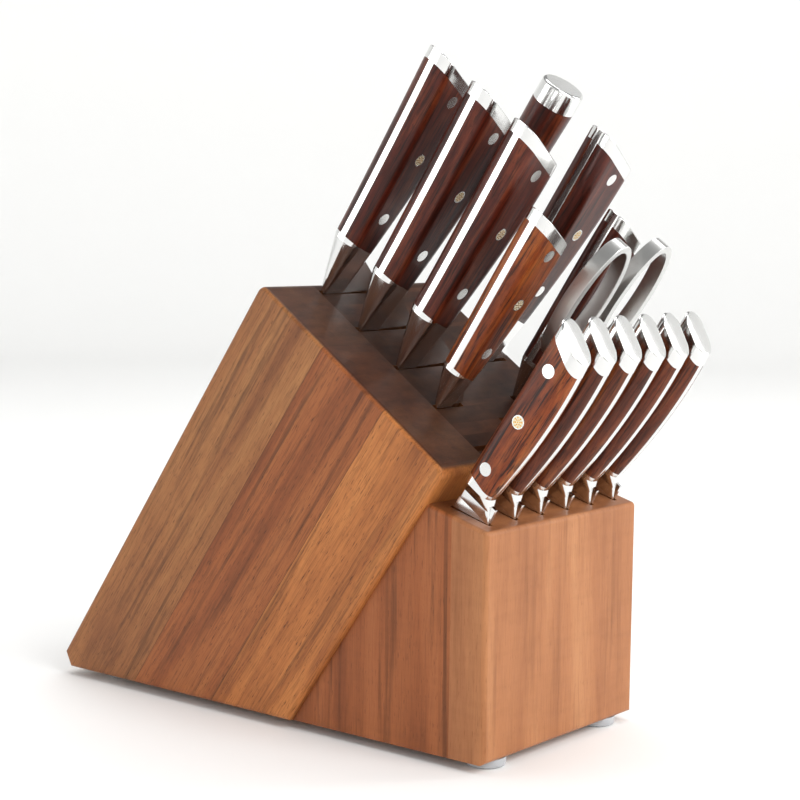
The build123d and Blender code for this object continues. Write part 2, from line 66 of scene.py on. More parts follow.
UP_LEAN = Vector((0.0, -sin(LEAN), cos(LEAN)))
DOWN_SLOPE = Vector((0.0, -cos(LEAN), -sin(LEAN)))
ACROSS = Vector((1.0, 0.0, 0.0))
MIDDLE = Vector((0.0, 0.0, 0.15))         # near the middle of the set, for the lights to face
SHARP = radians(35)                       # edges of new pieces sharper than this stay sharp


class Grain(Enum):
    """Which way the wood's fibres run, as a turn about X that brings them upright."""

    LEANING = -LEAN
    UPRIGHT = 0.0


class Stain(Enum):
    """A handle's rosewood: its dark, middle and light figure."""

    RED = ("#2e0f08", "#541d10", "#7a3a20")
    BROWN = ("#3b180a", "#6a2f15", "#8d4d26")
    ORANGE = ("#5a2410", "#8a3f18", "#a9602a")


def linear(code: str) -> tuple[float, float, float, float]:
    """Turns an sRGB hex colour into the linear values that shaders take.

    Args:
        code: Six hex digits after a hash, such as "#8a5a35".

    Returns:
        Red, green, blue and alpha, linear.
    """
    parts = [int(code[at:at + 2], 16) / 255 for at in (1, 3, 5)]
    red, green, blue = (
        part / 12.92 if part <= 0.04045 else ((part + 0.055) / 1.055) ** 2.4 for part in parts
    )
    return red, green, blue, 1.0


def add_node(
    tree: bpy.types.NodeTree,
    kind: str,
    inputs: dict | None = None,
    stops: list[tuple[float, str]] | None = None,
    **settings: object,
) -> bpy.types.Node:
    """Adds one shader node with its settings, values and links.

    Args:
        tree: The material's node tree.
        kind: The node's type name.
        inputs: A value or a linked output for each named or numbered input.
        stops: A colour ramp's places and hex colours, its two ends first.
        **settings: The node's own attributes.

    Returns:
        The new node.
    """
    node = tree.nodes.new(kind)
    for name, value in settings.items():
        setattr(node, name, value)
    for key, value in (inputs or {}).items():
        if isinstance(value, bpy.types.NodeSocket):
            tree.links.new(value, node.inputs[key])
        else:
            node.inputs[key].default_value = value
    for number, (place, code) in enumerate(stops or []):
        ramp = node.color_ramp.elements
        stop = ramp[number] if number < 2 else ramp.new(place)
        stop.position = place
        stop.color = linear(code)
    return node


def new_material(name: str) -> tuple[bpy.types.Material, bpy.types.NodeTree]:
    """Makes an empty node material.

    Args:
        name: The material's name.

    Returns:
        The material and its node tree.
    """
    material = bpy.data.materials.new(name)
    material.use_nodes = True
    material.node_tree.nodes.clear()
    return material, material.node_tree


def finish_surface(tree: bpy.types.NodeTree, shader: bpy.types.Node) -> None:
    """Links the shader to the material's output.

    Args:
        tree: The material's node tree.
        shader: The node whose first output is the surface.
    """
    add_node(tree, "ShaderNodeOutputMaterial", {"Surface": shader.outputs[0]})


def stretched_noise(
    tree: bpy.types.NodeTree,
    place: bpy.types.NodeSocket,
    size: tuple[float, float, float],
    **inputs: float,
) -> bpy.types.NodeSocket:
    """Lays a noise over the piece, stretched to a real size in millimetres.

    Args:
        tree: The material's node tree.
        place: Coordinates in metres, Z along the grain.
        size: The pattern's size across, through and along the grain, in millimetres.
        **inputs: More of the noise's own inputs.

    Returns:
        The noise's factor.
    """
    scale = tuple(1 / (part * MM) for part in size)
    spread = add_node(tree, "ShaderNodeMapping", {"Vector": place, "Scale": scale})
    values = {"Vector": spread.outputs[0], "Scale": 1.0}
    values.update({key.replace("_", " ").title(): value for key, value in inputs.items()})
    return add_node(tree, "ShaderNodeTexNoise", values).outputs[0]


@dataclass(frozen=True)
class Wood:
    """A planed, oiled or polished hardwood, with figure, streaks, fibres and open pores.

    The figure is the board's broad change of colour, the streaks are its growth bands, and the
    fibres and pores catch the light along the grain. Sizes are in millimetres: across the board,
    through it and along the grain. Edges say where a pattern starts to show and where it is full.
    """

    name: str
    figure: tuple[str, str, str]          # dark, middle and light
    streak: str
    grain: Grain
    figure_size: tuple[float, float, float] = (26.0, 26.0, 240.0)
    streak_size: tuple[float, float, float] = (5.0, 5.0, 130.0)
    streak_edge: tuple[float, float] = (0.52, 0.68)
    streak_depth: float = 0.6
    fibre_size: tuple[float, float, float] = (0.7, 0.7, 16.0)
    fibre_edge: tuple[float, float] = (0.45, 0.75)
    fibre_depth: float = 0.25
    ripple_size: tuple[float, float, float] = (18.0, 18.0, 4.0)
    ripple_edge: tuple[float, float] = (0.45, 0.8)
    ripple_depth: float = 0.10
    pore_size: tuple[float, float, float] = (0.55, 0.55, 5.0)
    pore_edge: tuple[float, float] = (0.62, 0.72)
    pore_depth: float = 0.5
    roughness: float = 0.42
    roughness_spread: float = 0.06
    shine: float = 0.22                   # how strongly the bare wood mirrors
    coat: float = 0.0
    coat_roughness: float = 0.3
    bump: float = 0.12
    relief: float = 0.2 * MM
    end_and_shade_colours: tuple[str, str] | None = None   # dark and light of the sawn ends, also standing as painted shade on the top faces
    end_ring_size: tuple[float, float, float] = (16.0, 5.0, 40.0)
    end_depth: float = 0.9
    end_way: tuple[float, float, float] = (0.0, 0.0, 1.0)
    shift: tuple[float, float, float] = (0.0, 0.0, 0.0)
    seams: tuple[float, ...] = ()         # places of glued seams up the slope, the highest first
    glue_half: float = 0.25 * MM
    glue_depth: float = 0.55
    stave_tints: tuple[str, ...] = ()     # tint of each stave, from the first

    def build(self) -> bpy.types.Material:
        """Builds the wood's node material.

        Returns:
            The new material.
        """
        material, tree = new_material(self.name)
        where = add_node(tree, "ShaderNodeTexCoord")
        turned = add_node(
            tree,
            "ShaderNodeMapping",
            {"Vector": where.outputs["Object"], "Rotation": (self.grain.value, 0.0, 0.0)},
        ).outputs[0]
        across = add_node(tree, "ShaderNodeSeparateXYZ", {0: turned}).outputs["Y"]
        past_seams = [
            add_node(
                tree, "ShaderNodeMath", {0: across, 1: seam}, operation="LESS_THAN"
            ).outputs[0]
            for seam in self.seams
        ]
        place = self.board_place(tree, turned, past_seams)
        figure = stretched_noise(
            tree, place, self.figure_size, detail=4.0, roughness=0.55, distortion=0.7
        )
        fibres = stretched_noise(tree, place, self.fibre_size, detail=3.0, roughness=0.6)
        pores = stretched_noise(tree, place, self.pore_size, detail=2.0, roughness=0.5)
        colour = self.board_colour(tree, place, figure, past_seams)
        colour = self.sink(tree, colour, fibres, self.fibre_edge, self.fibre_depth, self.streak)
        ripple = stretched_noise(tree, place, self.ripple_size, detail=2.0, roughness=0.5)
        colour = self.sink(tree, colour, ripple, self.ripple_edge, self.ripple_depth, self.streak)
        colour = self.sink(tree, colour, pores, self.pore_edge, self.pore_depth, self.streak)
        for seam in self.seams:
            colour = self.glue_line(tree, colour, across, seam)
        # The top faces get darker: partly end grain, partly painted shade.
        if self.end_and_shade_colours:
            colour = self.darken_ends_and_paint_shade(tree, colour, place, where.outputs["Normal"])
        relief = add_node(
            tree, "ShaderNodeMath", {0: fibres, 1: pores}, operation="SUBTRACT"
        ).outputs[0]
        bumped = add_node(
            tree,
            "ShaderNodeBump",
            {"Strength": self.bump, "Distance": self.relief, "Height": relief},
        ).outputs[0]
        rough = add_node(
            tree,
            "ShaderNodeMapRange",
            {
                0: figure,
                3: self.roughness + self.roughness_spread,
                4: self.roughness - self.roughness_spread,
            },
        ).outputs[0]
        shader = add_node(
            tree,
            "ShaderNodeBsdfPrincipled",
            {
                "Base Color": colour,
                "Roughness": rough,
                "Normal": bumped,
                "IOR": 1.5,
                "Specular IOR Level": self.shine,
                "Coat Weight": self.coat,
                "Coat Roughness": self.coat_roughness,
            },
        )
        finish_surface(tree, shader)
        return material

    def board_place(
        self,
        tree: bpy.types.NodeTree,
        turned: bpy.types.NodeSocket,
        past_seams: list[bpy.types.NodeSocket],
    ) -> bpy.types.NodeSocket:
        """Shifts the pattern, and jumps it at each glued seam, so that no two staves match.

        Args:
            tree: The material's node tree.
            turned: Coordinates in metres, Z along the grain.
            past_seams: For each seam, 1 further down the slope and 0 further up.

        Returns:
            The coordinates of the board's own pattern.
        """
        place = add_node(
            tree, "ShaderNodeVectorMath", {0: turned, 1: self.shift}, operation="ADD"
        ).outputs[0]
        for step in past_seams:
            jump = add_node(
                tree, "ShaderNodeCombineXYZ", {"X": step, "Y": step, "Z": step}
            ).outputs[0]
            place = add_node(
                tree, "ShaderNodeVectorMath", {0: place, 1: jump}, operation="ADD"
            ).outputs[0]
        return place

    def board_colour(
        self,
        tree: bpy.types.NodeTree,
        place: bpy.types.NodeSocket,
        figure: bpy.types.NodeSocket,
        past_seams: list[bpy.types.NodeSocket],
    ) -> bpy.types.NodeSocket:
        """Gives the figure's colour with its growth bands, and each stave's own tint.

        Args:
            tree: The material's node tree.
            place: The coordinates of the board's own pattern.
            figure: The broad noise.
            past_seams: For each seam, 1 further down the slope and 0 further up.

        Returns:
            The colour before the fine grain.
        """
        dark, middle, light = self.figure
        bands = [(0.30, dark), (0.72, light), (0.5, middle)]
        colour = add_node(tree, "ShaderNodeValToRGB", {0: figure}, bands).outputs[0]
        streaks = stretched_noise(
            tree, place, self.streak_size, detail=5.0, roughness=0.6, distortion=0.35
        )
        colour = self.sink(
            tree, colour, streaks, self.streak_edge, self.streak_depth, self.streak
        )
        untinted = colour
        for number, tint in enumerate(self.stave_tints):
            stained = add_node(
                tree,
                "ShaderNodeMix",
                {0: 1.0, 6: untinted, 7: linear(tint)},
                data_type="RGBA",
                blend_type="MULTIPLY",
            ).outputs[2]
            if number:
                stained = add_node(
                    tree,
                    "ShaderNodeMix",
                    {0: past_seams[number - 1], 6: colour, 7: stained},
                    data_type="RGBA",
                ).outputs[2]
            colour = stained
        return colour

    def sink(
        self,
        tree: bpy.types.NodeTree,
        colour: bpy.types.NodeSocket,
        mask: bpy.types.NodeSocket,
        edges: tuple[float, float],
        depth: float,
        towards: str,
    ) -> bpy.types.NodeSocket:
        """Mixes a colour towards another where a mask is high.

        Args:
            tree: The material's node tree.
            colour: The colour so far.
            mask: A noise.
            edges: Where the mixing starts and where it is full.
            depth: How far it goes, from 0 to 1.
            towards: The other colour, in hex.

        Returns:
            The mixed colour.
        """
        amount = add_node(
            tree, "ShaderNodeMapRange", {0: mask, 1: edges[0], 2: edges[1], 4: depth}
        ).outputs[0]
        return add_node(
            tree, "ShaderNodeMix", {0: amount, 6: colour, 7: linear(towards)}, data_type="RGBA"
        ).outputs[2]

    def glue_line(
        self,
        tree: bpy.types.NodeTree,
        colour: bpy.types.NodeSocket,
        across: bpy.types.NodeSocket,
        seam: float,
    ) -> bpy.types.NodeSocket:
        """Darkens a hair-thin line where two staves are glued.

        Args:
            tree: The material's node tree.
            colour: The colour so far.
            across: The place across the grain, up the slope.
            seam: The seam's own place, in metres.

        Returns:
            The colour with the line.
        """
        line = add_node(
            tree, "ShaderNodeMath", {0: across, 1: seam, 2: self.glue_half}, operation="COMPARE"
        ).outputs[0]
        amount = add_node(
            tree, "ShaderNodeMath", {0: line, 1: self.glue_depth}, operation="MULTIPLY"
        ).outputs[0]
        return add_node(
            tree, "ShaderNodeMix", {0: amount, 6: colour, 7: linear(self.streak)}, data_type="RGBA"
        ).outputs[2]

    def darken_ends_and_paint_shade(
        self,
        tree: bpy.types.NodeTree,
        colour: bpy.types.NodeSocket,
        place: bpy.types.NodeSocket,
        normal: bpy.types.NodeSocket,
    ) -> bpy.types.NodeSocket:
        """Darkens the ends across the grain in broad growth rings: partly end grain, which drinks more
        oil, partly painted shade on the top faces.

        Args:
            tree: The material's node tree.
            colour: The colour so far.
            place: The coordinates of the board's own pattern.
            normal: The surface's own direction.

        Returns:
            The colour with the sawn ends.
        """
        dark, light = self.end_and_shade_colours
        rings = stretched_noise(tree, place, self.end_ring_size, detail=5.0, roughness=0.6)
        ringed = add_node(
            tree, "ShaderNodeValToRGB", {0: rings}, [(0.35, dark), (0.7, light)]
        ).outputs[0]
        # Painted shade: faces that look along end_way, the top faces, are darkened along with the end
        # grain.
        facing = add_node(
            tree, "ShaderNodeVectorMath", {0: normal, 1: self.end_way}, operation="DOT_PRODUCT"
        ).outputs["Value"]
        amount = add_node(
            tree, "ShaderNodeMapRange", {0: facing, 1: 0.75, 2: 0.95, 4: self.end_depth}
        ).outputs[0]
        return add_node(
            tree, "ShaderNodeMix", {0: amount, 6: colour, 7: ringed}, data_type="RGBA"
        ).outputs[2]


@dataclass(frozen=True)
class Steel:
    """A stainless steel, polished, ground or tumbled.

    Fine marks of the wheel lie along or across the piece, and change how sharp it mirrors.
    """

    name: str
    tone: str = "#e3e3e2"
    roughness: float = 0.08
    roughness_spread: float = 0.03
    mark_size: tuple[float, float, float] = (6.0, 6.0, 40.0)
    bump: float = 0.0
    relief: float = 0.05 * MM
    grain: Grain = Grain.LEANING

    def build(self) -> bpy.types.Material:
        """Builds the steel's node material.

        Returns:
            The new material.
        """
        material, tree = new_material(self.name)
        where = add_node(tree, "ShaderNodeTexCoord")
        place = add_node(
            tree,
            "ShaderNodeMapping",
            {"Vector": where.outputs["Object"], "Rotation": (self.grain.value, 0.0, 0.0)},
        ).outputs[0]
        marks = stretched_noise(tree, place, self.mark_size, detail=4.0, roughness=0.65)
        rough = add_node(
            tree,
            "ShaderNodeMapRange",
            {
                0: marks,
                3: self.roughness - self.roughness_spread,
                4: self.roughness + self.roughness_spread,
            },
        ).outputs[0]
        inputs = {"Base Color": linear(self.tone), "Metallic": 1.0, "Roughness": rough}
        if self.bump:
            inputs["Normal"] = add_node(
                tree,
                "ShaderNodeBump",
                {"Strength": self.bump, "Distance": self.relief, "Height": marks},
            ).outputs[0]
        finish_surface(tree, add_node(tree, "ShaderNodeBsdfPrincipled", inputs))
        return material


@dataclass(frozen=True)
class Moulded:
    """A moulded or cast plastic or resin, clear or cloudy, with a faint flow mottle."""

    name: str
    tone: str
    roughness: float = 0.25
    roughness_spread: float = 0.05
    mottle_size: tuple[float, float, float] = (3.0, 3.0, 3.0)
    clearness: float = 0.0
    ior: float = 1.49

    def build(self) -> bpy.types.Material:
        """Builds the plastic's node material.

        Returns:
            The new material.
        """
        material, tree = new_material(self.name)
        where = add_node(tree, "ShaderNodeTexCoord")
        mottle = stretched_noise(tree, where.outputs["Object"], self.mottle_size, detail=2.0)
        rough = add_node(
            tree,
            "ShaderNodeMapRange",
            {
                0: mottle,
                3: self.roughness - self.roughness_spread,
                4: self.roughness + self.roughness_spread,
            },
        ).outputs[0]
        shader = add_node(
            tree,
            "ShaderNodeBsdfPrincipled",
            {
                "Base Color": linear(self.tone),
                "Roughness": rough,
                "IOR": self.ior,
                "Transmission Weight": self.clearness,
            },
        )
        finish_surface(tree, shader)
        return material


def dress(node: str, material: bpy.types.Material) -> None:
    """Gives a CAD node its material.

    Args:
        node: The CAD node's name.
        material: The material that it gets.
    """
    for slot in NODES[node].material_slots:
        slot.link = "DATA"
        slot.material = material
    LOG.info("%s: %s", node, material.name)


def piece_from(
    mesh: bmesh.types.BMesh,
    name: str,
    body: str,
    material: bpy.types.Material,
    turn_out: bool = True,
) -> bpy.types.Object:
    """Turns a finished bmesh into a smooth piece that rides on a body.

    Args:
        mesh: The bmesh, already in place. It is freed.
        name: The piece's name.
        body: The CAD body that it moves with.
        material: The piece's material.
        turn_out: True where the faces of a closed piece are to be turned outwards.

    Returns:
        The new object.
    """
    if turn_out:
        bmesh.ops.recalc_face_normals(mesh, faces=mesh.faces)
    data = bpy.data.meshes.new(name)
    mesh.to_mesh(data)
    mesh.free()
    data.materials.append(material)
    for face in data.polygons:
        face.use_smooth = True
    data.set_sharp_from_angle(angle=SHARP)
    piece = bpy.data.objects.new(name, data)
    bpy.context.scene.collection.objects.link(piece)
    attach(piece, body)
    LOG.info("%s: %s faces", name, len(data.polygons))
    return piece


def turned_frame(origin: Vector, normal: Vector) -> Matrix:
    """Gives the matrix that stands a piece made along Z on a surface.

    Args:
        origin: The place on the surface.
        normal: The way out of the surface.

    Returns:
        The placing matrix.
    """
    return Matrix.Translation(origin) @ normal.to_track_quat("Z", "Y").to_matrix().to_4x4()


def spin_outline(
    mesh: bmesh.types.BMesh,
    outline: list[tuple[float, float]],
    place: Matrix,
    sides: int,
    ring: bool = False,
) -> None:
    """Spins an outline into a closed solid round its place's own Z.

    Args:
        mesh: The bmesh that takes the solid.
        outline: Pairs of radius and height.
        place: Where it stands.
        sides: How many steps make the turn.
        ring: True where the outline closes on itself, and stands off the axis.
    """
    points = [mesh.verts.new(place @ Vector((radius, 0.0, height))) for radius, height in outline]
    pairs = list(zip(points, points[1:]))
    if ring:
        pairs.append((points[-1], points[0]))
    edges = [mesh.edges.new(pair) for pair in pairs]
    bmesh.ops.spin(
        mesh,
        geom=points + edges,
        axis=place.to_3x3() @ Vector((0.0, 0.0, 1.0)),
        cent=place.translation,
        steps=sides,
        angle=tau,
        use_merge=True,
    )
    bmesh.ops.remove_doubles(mesh, verts=mesh.verts, dist=0.0005 * MM)


def disc_outline(radius: float, height: float) -> list[tuple[float, float]]:
    """Gives the outline of a low disc with a softened rim.

    Args:
        radius: The disc's radius, in metres.
        height: The disc's height, in metres.

    Returns:
        Radius and height pairs, from the middle of the base to the middle of the top.
    """
    soft = height * 0.35
    return [(0.0, 0.0), (radius, 0.0), (radius, height - soft), (radius - soft, height), (0.0, height)]


@dataclass
class MosaicPin:
    """A mosaic pin's end: a steel tube round pale resin, with brass rods set in it."""

    knife: str
    body: str
    radius: float = 3.2 * MM
    wall: float = 0.45 * MM
    proud: float = 0.12 * MM
    rod_radius: float = 0.42 * MM
    rod_circles: tuple[tuple[int, float], ...] = ((1, 0.0), (6, 1.15 * MM), (8, 2.1 * MM))

    def build(
        self,
        face: Vector,
        way: Vector,
        side: str,
        tube: bpy.types.Material,
        resin: bpy.types.Material,
        brass: bpy.types.Material,
    ) -> None:
        """Builds one end of the pin on the handle's surface.

        Args:
            face: The pin end's middle.
            way: The way out of the handle.
            side: A word for the side, for the pieces' names.
            tube: The tube's steel.
            resin: The filling.
            brass: The rods.
        """
        place = turned_frame(face, way)
        inner, soft = self.radius - self.wall, self.proud * 0.4
        section = [
            (inner, 0.0),
            (self.radius, 0.0),
            (self.radius, self.proud - soft),
            (self.radius - soft, self.proud),
            (inner + soft, self.proud),
            (inner, self.proud - soft),
        ]
        ring = bmesh.new()
        spin_outline(ring, section, place, 40, ring=True)
        piece_from(ring, f"{self.knife}_mosaic_tube_{side}", self.body, tube)
        fill = bmesh.new()
        spin_outline(fill, disc_outline(inner, self.proud * 0.7), place, 32)
        piece_from(fill, f"{self.knife}_mosaic_resin_{side}", self.body, resin)
        rods = bmesh.new()
        for count, circle in self.rod_circles:
            for number in range(count):
                turn = tau * number / count
                spot = Matrix.Translation((circle * cos(turn), circle * sin(turn), 0.0))
                rod = disc_outline(self.rod_radius, self.proud * 0.95)
                spin_outline(rods, rod, place @ spot, 10)
        piece_from(rods, f"{self.knife}_mosaic_rods_{side}", self.body, brass)


def cap_face(blade: bpy.types.Object) -> bmesh.types.BMesh:
    """Copies the flat end of a handle's cap out of its CAD node.

    Args:
        blade: The CAD node with the cap.

    Returns:
        A bmesh that holds the end as one face.
    """
    reach = 20 * MM                       # further from the top than any cap's end
    facing_up = 0.8                       # cosine of a face that looks up the lean
    in_plane = 0.9995                     # cosine of a face that lies in the end's plane
    mesh = bmesh.new()
    mesh.from_mesh(blade.data)
    top = max(vertex.co.dot(UP_LEAN) for vertex in mesh.verts)
    near = [
        face
        for face in mesh.faces
        if face.normal.dot(UP_LEAN) > facing_up
        and face.calc_center_median().dot(UP_LEAN) > top - reach
    ]
    way = max(near, key=lambda face: face.calc_area()).normal.copy()
    end = {face for face in near if face.normal.dot(way) >= in_plane}
    others = [face for face in mesh.faces if face not in end]
    bmesh.ops.delete(mesh, geom=others, context="FACES")
    bmesh.ops.remove_doubles(mesh, verts=mesh.verts, dist=0.005 * MM)
    bmesh.ops.dissolve_faces(mesh, faces=mesh.faces)
    return mesh


@dataclass
class DomedCap:
    """The polished end of a cap, raised a little with a soft rim.

    Each step is an inset and a rise.
    """

    knife: str
    steps: tuple[tuple[float, float], ...] = (
        (0.15 * MM, 0.28 * MM),
        (0.35 * MM, 0.22 * MM),
        (0.9 * MM, 0.14 * MM),
    )

    def build(self, steel: bpy.types.Material) -> None:
        """Builds the dome by insets of the cap's own flat end.

        Args:
            steel: The cap's steel.
        """
        mesh = cap_face(NODES[f"{self.knife}_blade"])
        for inset, rise in self.steps:
            faces = [max(mesh.faces, key=lambda face: face.calc_area())]
            bmesh.ops.inset_individual(mesh, faces=faces, thickness=inset, depth=rise)
        name = f"{self.knife}_cap_end"
        piece_from(mesh, name, self.knife, steel, turn_out=False)


@dataclass
class RivetedKnife:
    """A knife of the set: forged blade with bolster, tang and cap, two scales and three pins."""

    name: str
    wood: Wood
    way_out: Vector                       # out of the front scale
    scales: tuple[str, ...] = ("front_scale", "back_scale")
    pin_sink: float = 0.04 * MM

    def build(self, finishes: dict[str, bpy.types.Material]) -> None:
        """Dresses the knife's CAD nodes and adds the mosaic pin's two ends.

        Args:
            finishes: The shared materials by short name.
        """
        grain = self.wood.build()
        for scale in self.scales:
            dress(f"{self.name}_{scale}", grain)
        dress(f"{self.name}_blade", finishes["polished"])
        dress(f"{self.name}_rivets", finishes["pin"])
        DomedCap(self.name).build(finishes["polished"])
        for side, way in (("front", self.way_out), ("back", -self.way_out)):
            MosaicPin(self.name, self.name).build(
                self.pin_face(way), way, side, finishes["pin"], finishes["resin"], finishes["brass"]
            )

    def pin_face(self, way: Vector) -> Vector:
        """Finds the middle pin's end on one side, from the pins' own vertices.

        Args:
            way: The direction out of that side.

        Returns:
            The middle of that end, sunk a hair into the pin, in metres.
        """
        points = [vertex.co for vertex in NODES[f"{self.name}_rivets"].data.vertices]
        heights = [point.dot(UP_LEAN) for point in points]
        low, high = min(heights), max(heights)
        third = (high - low) / 3
        middle = [
            point for point, height in zip(points, heights) if low + third < height < high - third
        ]
        centre = sum(middle, Vector()) / len(middle)
        reach = max(point.dot(way) for point in middle)
        return centre + way * (reach - centre.dot(way) - self.pin_sink)


@dataclass
class MainBlock:
    """The leaning block: a side board of three staves, a slotted core and a thin side board."""

    seams_down: tuple[float, float] = (50.0 * MM, 97.0 * MM)

    def build(self) -> None:
        """Dresses the leaning block's boards."""
        top_edge = max(
            vertex.co.dot(-DOWN_SLOPE) for vertex in NODES["core_boards"].data.vertices
        )
        seams = tuple(top_edge - down for down in self.seams_down)
        side = Wood(
            "acacia_side_planed_oiled",
            ("#8a5230", "#b57646", "#cf9058"),
            "#3f2212",
            Grain.LEANING,
            fibre_depth=0.55,
            pore_depth=0.75,
            # Top faces: dark end grain together with painted shade.
            end_and_shade_colours=("#2b150d", "#4a2a1b"),
            end_way=tuple(UP_LEAN),
            seams=seams,
            stave_tints=("#dcdcda", "#d4bcb0", "#fff2dc"),
        )
        dress("left_board_staves", side.build())
        plain = Wood(
            "acacia_core_planed_oiled",
            ("#5e351f", "#80502f", "#99663c"),
            "#3a2012",
            Grain.LEANING,
            shine=0.1,
            # Top faces: dark end grain together with painted shade.
            end_and_shade_colours=("#22100a", "#3a2015"),
            end_way=tuple(UP_LEAN),
            shift=(0.31, 0.17, 0.4),
        ).build()
        dress("right_side_board", plain)
        dress("core_boards", plain)
        spacer = Wood(
            "acacia_spacer_planed_oiled",
            ("#5e3820", "#7c4f30", "#925f3a"),
            "#3a2012",
            Grain.LEANING,
            shine=0.1,
            # Top faces: dark end grain together with painted shade.
            end_and_shade_colours=("#2c160e", "#4d2c1d"),
            end_way=tuple(UP_LEAN),
            shift=(0.71, 0.57, 0.1),
        ).build()
        dress("slot_spacers", spacer)


@dataclass
class LowBlock:
    """The steak-knife block in front: a front board whose paler colours are painted light on the lit
    front face, and slotted inner boards.
    """

    def build(self) -> None:
        """Dresses the low block's boards."""
        # Painted light: the front board is the same acacia as the inner boards, drawn paler to stand
        # for the light on the front face.
        front = Wood(
            "acacia_front_oiled_painted_light",
            ("#965f3c", "#aa7048", "#ba8257"),
            "#633618",
            Grain.UPRIGHT,
            figure_size=(30.0, 30.0, 300.0),
            streak_depth=0.35,
            pore_depth=0.35,
            # Top faces: end grain together with painted shade.
            end_and_shade_colours=("#7a4a2c", "#9a6440"),
        ).build()
        dress("steak_front_board", front)
        inner = Wood(
            "acacia_inner_planed_oiled",
            ("#7a4122", "#95552f", "#a8653c"),
            "#45240f",
            Grain.UPRIGHT,
            # Top faces: end grain together with painted shade.
            end_and_shade_colours=("#63391f", "#83502f"),
            shift=(0.2, 0.6, 0.3),
        ).build()
        dress("steak_inner_boards", inner)
        dress("steak_slot_spacers", inner)


@dataclass
class Feet:
    """Four round moulded bumpers under the block.

    The rim is a list of shares of the radius and of the height, from the top down.
    """

    radius: float = 9.5 * MM
    recess: float = 4.0 * MM
    rim: tuple[tuple[float, float], ...] = (
        (0.0, 1.0),
        (1.0, 1.0),
        (1.0, 0.45),
        (0.985, 0.25),
        (0.94, 0.1),
        (0.86, 0.02),
        (0.78, 0.0),
    )
    recess_wall: tuple[float, float] = (0.9, 0.15)   # shares of the recess and of the height
    recess_depth: float = 0.2                        # share of the height

    def build(self, material: bpy.types.Material) -> None:
        """Spins the four bumpers in place of the plain CAD feet.

        Args:
            material: The material that it gets.
        """
        low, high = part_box("feet")
        mesh = bmesh.new()
        height = high.z - low.z
        inward, upward = self.recess_wall
        outline = [(self.radius * across, height * up) for across, up in self.rim]
        outline += [
            (self.recess, 0.0),
            (self.recess * inward, height * upward),
            (0.0, height * self.recess_depth),
        ]
        for x in (low.x + self.radius, high.x - self.radius):
            for y in (low.y + self.radius, high.y - self.radius):
                spin_outline(mesh, outline, Matrix.Translation((x, y, low.z)), 48)
        piece = piece_from(mesh, "bumper_feet", "root", material)
        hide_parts("feet")


@dataclass
class SharpeningSteel:
    """The sharpening steel: a grooved rod, a turned grip and a polished cap."""

    def build(self, wood: Wood, finishes: dict[str, bpy.types.Material]) -> None:
        """Dresses the steel's three nodes.

        Args:
            wood: The wood of the grip.
            finishes: The shared materials by short name.
        """
        dress("sharpening_steel_rod", finishes["ground"])
        dress("sharpening_steel_grip", wood.build())
        dress("sharpening_steel_cap", finishes["polished"])


@dataclass
class Shears:
    """The all-steel shears, with softened edges round both finger loops."""

    soften: float = 1.3 * MM
    flat: float = radians(1)              # faces nearer to one plane than this are joined
    corner: float = radians(40)           # edges sharper than this are rounded

    def build(self, finishes: dict[str, bpy.types.Material]) -> None:
        """Rounds copies of both halves, and dresses the pivot screw.

        Args:
            finishes: The shared materials by short name.
        """
        self.half("shears_fixed_half", "shears", finishes["satin"])
        self.half("shears_turning_half", "shears_turning_half", finishes["satin"])
        dress("shears_pivot_screw", finishes["polished"])

    def half(self, node: str, body: str, material: bpy.types.Material) -> None:
        """Merges a copy of one half and bevels its edges.

        Args:
            node: The CAD node's name.
            body: The body that it rides.
            material: The material that it gets.
        """
        mesh = bmesh.new()
        mesh.from_mesh(NODES[node].data)
        bmesh.ops.remove_doubles(mesh, verts=mesh.verts, dist=0.002 * MM)
        bmesh.ops.dissolve_limit(
            mesh, angle_limit=self.flat, verts=mesh.verts, edges=mesh.edges
        )
        piece = piece_from(mesh, node + "_softened", body, material)
        bevel = piece.modifiers.new("soften", "BEVEL")
        bevel.width = self.soften
        bevel.segments = 3
        bevel.limit_method = "ANGLE"
        bevel.angle_limit = self.corner
        bevel.use_clamp_overlap = True
        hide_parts(node)


